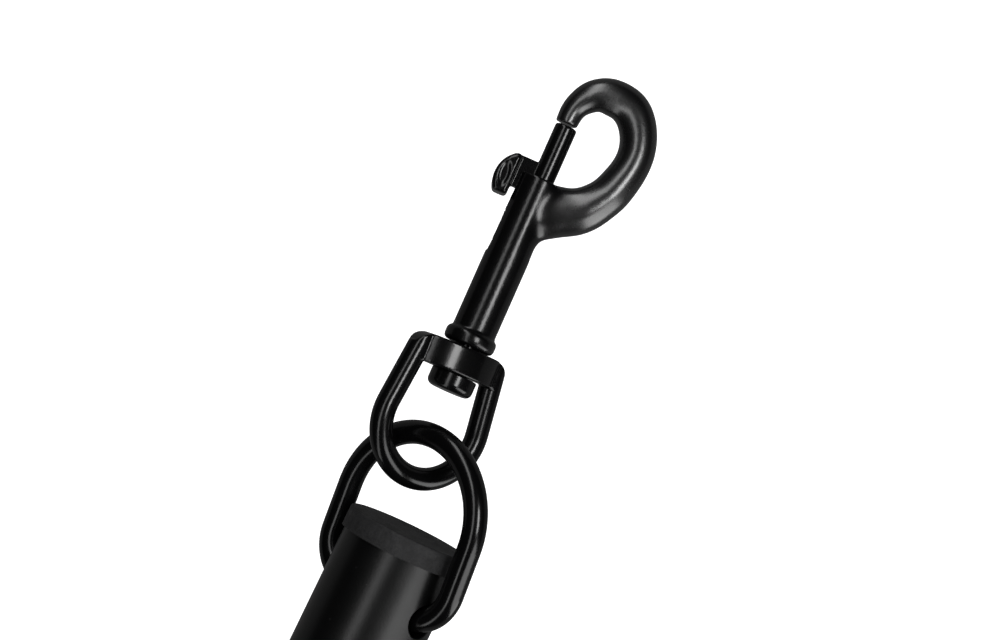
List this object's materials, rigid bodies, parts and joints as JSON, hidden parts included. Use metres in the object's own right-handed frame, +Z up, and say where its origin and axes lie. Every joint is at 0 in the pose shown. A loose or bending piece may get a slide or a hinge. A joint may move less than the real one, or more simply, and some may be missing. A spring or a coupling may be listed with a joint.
{
  "type": "retractable leash",
  "caption": "Telescoping tube leash bar with rubber grip, twist lock, D-ring, swivel eye and a sliding bolt snap.",
  "frame": {"origin": "centre of the strap hole in the end cap's lug, on the tubes' axis", "axes": "+X along the tubes towards the snap, +Y to the left along the strap hole, +Z up from the table"},
  "size_m": [0.4593, 0.0336, 0.0294],
  "materials": {
    "gloss_black": "gloss",
    "satin_black": "satin",
    "cap_rubber": "matte",
    "grip_rubber": "matte",
    "black_plastic": "satin",
    "plain_steel": "satin",
    "plain_aluminium": "satin",
    "lock_brass": "satin",
    "white_nylon": "matte"
  },
  "bodies": {
    "handle": {"rear_tube": "satin_black", "grip": "grip_rubber", "end_cap": "black_plastic", "end_cap_pin": "plain_steel", "stud_plug": "plain_aluminium", "stud_plug_pin": "plain_steel", "lock_stud": "plain_steel", "lock_nut": "plain_steel"},
    "lock_sleeve": {"lock_sleeve": "white_nylon"},
    "lock_cone": {"lock_cone": "lock_brass"},
    "front": {"front_tube": "satin_black", "front_cap": "cap_rubber", "collar": "satin_black", "guide_bush": "white_nylon", "collar_screws": "plain_steel"},
    "d_ring": {"d_ring": "gloss_black"},
    "swivel_eye": {"swivel_eye": "gloss_black"},
    "snap": {"snap_body": "gloss_black", "swivel_rivet": "gloss_black", "bolt_spring": "plain_steel"},
    "bolt": {"snap_bolt": "gloss_black"}
  },
  "joints": [
    {"name": "lock_twist", "type": "hinge", "parent": "handle", "child": "lock_sleeve", "pos_m": [0.3033, 0, 0], "axis": [1, 0, 0], "range_deg": [-180, 0]},
    {"name": "cone_travel", "type": "slide", "parent": "lock_sleeve", "child": "lock_cone", "axis": [1, 0, 0], "range_m": [-0.00063, 0]},
    {"name": "telescope", "type": "slide", "parent": "lock_sleeve", "child": "front", "axis": [1, 0, 0], "range_m": [0, 0.13]},
    {"name": "ring_swing", "type": "hinge", "parent": "front", "child": "d_ring", "pos_m": [0.3358, 0, 0], "axis": [0, -0.807, 0.5906], "range_deg": [-118, 100]},
    {"name": "eye_swing", "type": "hinge", "parent": "d_ring", "child": "swivel_eye", "pos_m": [0.37029, 0.00335, 0.00416], "axis": [0, -0.807, 0.5906], "range_deg": [-45, 30]},
    {"name": "swivel", "type": "hinge", "parent": "swivel_eye", "child": "snap", "pos_m": [0.39145, 0.00625, -0.00347], "axis": [0.993, 0.034, -0.1132], "continuous": true},
    {"name": "bolt_slide", "type": "slide", "parent": "snap", "child": "bolt", "axis": [-0.993, -0.034, 0.1132], "range_m": [0, 0.0123], "stiffness_N_per_m": 400, "springref_m": -0.006, "deforming": ["bolt_spring"]}
  ],
  "couplings": [
    {"joint": "cone_travel", "follows": "lock_twist", "m_per_rad": 0.00019894}
  ]
}
